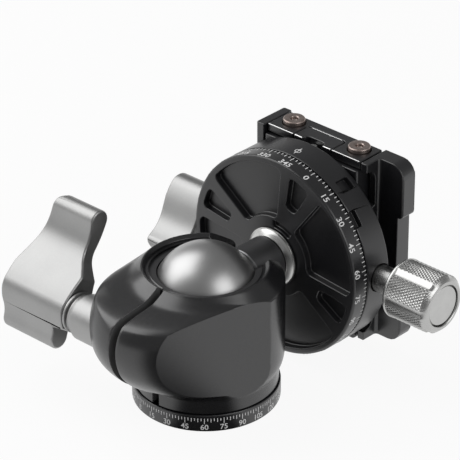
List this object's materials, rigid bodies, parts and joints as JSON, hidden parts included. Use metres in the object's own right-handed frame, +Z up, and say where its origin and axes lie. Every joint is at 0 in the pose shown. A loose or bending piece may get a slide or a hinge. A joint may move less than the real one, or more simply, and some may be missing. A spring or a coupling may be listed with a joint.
{
  "type": "ball head",
  "caption": "Ball head with a split round housing, a ball on a thick stem, a turning disc with a degree scale, and a dovetail clamp with a knurled knob.",
  "frame": {"origin": "centre of the flat mounting face under the base, where the tripod screw enters", "axes": "+Z up along the base's turning axis, +Y the side that the stem leans to, +X the side of the flat facet and the knurled knob, -X the side of the levers"},
  "size_m": [0.117, 0.1055, 0.0726],
  "materials": {
    "black_anodised": "satin black anodised",
    "satin_lever": "bead-blasted satin",
    "ball_metal": "fine turned",
    "bright_steel": "bright turned",
    "screw_steel": "brownish plated",
    "dark_liner": "matt"
  },
  "bodies": {
    "base": {"base_ring": "black_anodised", "tripod_bush": "bright_steel", "base_retainer": "bright_steel"},
    "housing": {"ball_housing": "black_anodised", "ball_cup": "dark_liner", "ball_liner": "dark_liner", "lock_barrel_nut": "bright_steel"},
    "ball_lock": {"ball_lock_lever": "satin_lever", "ball_lock_collar": "satin_lever", "ball_lock_bolt": "bright_steel"},
    "ball": {"ball_and_stem": "ball_metal", "stem_collar": "bright_steel", "stem_screw": "bright_steel", "pan_disc": "black_anodised", "pan_retainer": "bright_steel"},
    "pan": {"pan_body": "black_anodised", "brake_shoe": "bright_steel", "guide_pin_low": "bright_steel", "guide_pin_high": "bright_steel", "clamp_bed": "black_anodised", "mount_screw_low": "bright_steel", "mount_screw_high": "bright_steel", "stop_pin": "bright_steel", "end_stop_plate": "black_anodised", "end_stop_tongue": "black_anodised", "end_screw_left": "screw_steel", "end_screw_right": "screw_steel", "fixed_jaw": "black_anodised", "jaw_screw_low": "bright_steel", "jaw_screw_high": "bright_steel"},
    "pan_lock": {"pan_lock_lever": "satin_lever", "pan_lock_collar": "satin_lever", "pan_lock_screw": "bright_steel"},
    "jaw": {"movable_jaw": "black_anodised"},
    "knob": {"clamp_knob": "satin_lever", "clamp_knob_cap": "satin_lever", "clamp_knob_sleeve": "satin_lever", "clamp_screw": "bright_steel"}
  },
  "joints": [
    {"name": "base_pan", "type": "hinge", "parent": "base", "child": "housing", "pos_m": [0, 0, 0], "axis": [0, 0, 1], "continuous": true},
    {"name": "ball_lock_turn", "type": "hinge", "parent": "housing", "child": "ball_lock", "pos_m": [0, -0.0295, 0.0315], "axis": [1, 0, 0], "range_deg": [-45, 30]},
    {"name": "ball_tilt", "type": "hinge", "parent": "housing", "child": "ball", "pos_m": [0, 0, 0.037], "axis": [1, 0, 0], "range_deg": [0, 100]},
    {"name": "top_pan", "type": "hinge", "parent": "ball", "child": "pan", "pos_m": [0, 0.0446, 0.037], "axis": [0, 1, 0], "continuous": true},
    {"name": "pan_lock_turn", "type": "hinge", "parent": "pan", "child": "pan_lock", "pos_m": [-0.035, 0.0446, 0.037], "axis": [1, 0, 0], "range_deg": [-20, 20]},
    {"name": "jaw_slide", "type": "slide", "parent": "pan", "child": "jaw", "axis": [1, 0, 0], "range_m": [0, 0.003]},
    {"name": "knob_turn", "type": "hinge", "parent": "jaw", "child": "knob", "pos_m": [0.0435, 0.0446, 0.037], "axis": [1, 0, 0], "range_deg": [0, 1080]}
  ],
  "couplings": [
    {"joint": "knob_turn", "follows": "jaw_slide", "rad_per_m": 6283.2}
  ]
}
